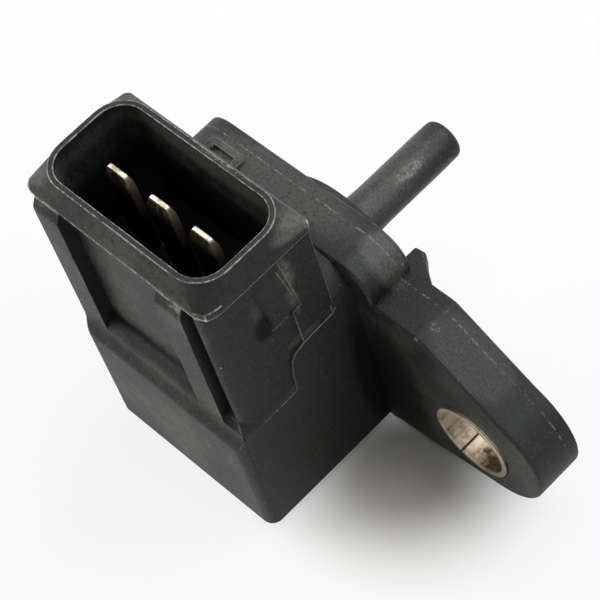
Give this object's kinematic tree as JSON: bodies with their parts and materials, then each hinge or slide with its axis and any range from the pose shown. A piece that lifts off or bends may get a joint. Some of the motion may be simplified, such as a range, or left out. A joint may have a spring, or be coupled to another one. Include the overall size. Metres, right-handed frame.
{
  "type": "manifold absolute pressure sensor",
  "caption": "Black plastic manifold absolute pressure sensor with a rectangular plug, a side pressure port and a bushed mounting ear.",
  "frame": {"origin": "centre of the bush bore on the mounting face of the ear", "axes": "+X from the plug body toward the ear, +Y along the pressure port, +Z out of the plug mouth"},
  "size_m": [0.0405, 0.0333, 0.0349],
  "materials": {
    "black_plastic": "matte, fine mould grain, dusty in the corners",
    "bush_steel": "plated steel, dull and stained inside",
    "blade_brass": "tarnished tin over brass, bright at the tips",
    "board_ceramic": "matte fired",
    "header_plastic": "matte",
    "pedestal_glass": "clear",
    "die_silicon": "polished silicon",
    "soft_gel": "soft, clear",
    "wire_gold": "bright",
    "chip_black": "matte",
    "capacitor_body": "satin",
    "resistor_film": "glazed",
    "solder": "satin",
    "sealant": "cured, dull"
  },
  "bodies": {
    "root": {"housing": "black_plastic", "port_cover": "black_plastic", "mounting_bush": "bush_steel", "terminal_1": "blade_brass", "terminal_2": "blade_brass", "terminal_3": "blade_brass", "circuit_board": "board_ceramic", "cell_header": "header_plastic", "glass_pedestal": "pedestal_glass", "pressure_die": "die_silicon", "gel_fill": "soft_gel", "bond_wires": "wire_gold", "signal_chip": "chip_black", "capacitor_1": "capacitor_body", "capacitor_2": "capacitor_body", "capacitor_3": "capacitor_body", "trim_resistor_1": "resistor_film", "trim_resistor_2": "resistor_film", "solder_joints": "solder", "chamber_seal": "sealant", "cover_bond": "sealant"}
  },
  "joints": []
}
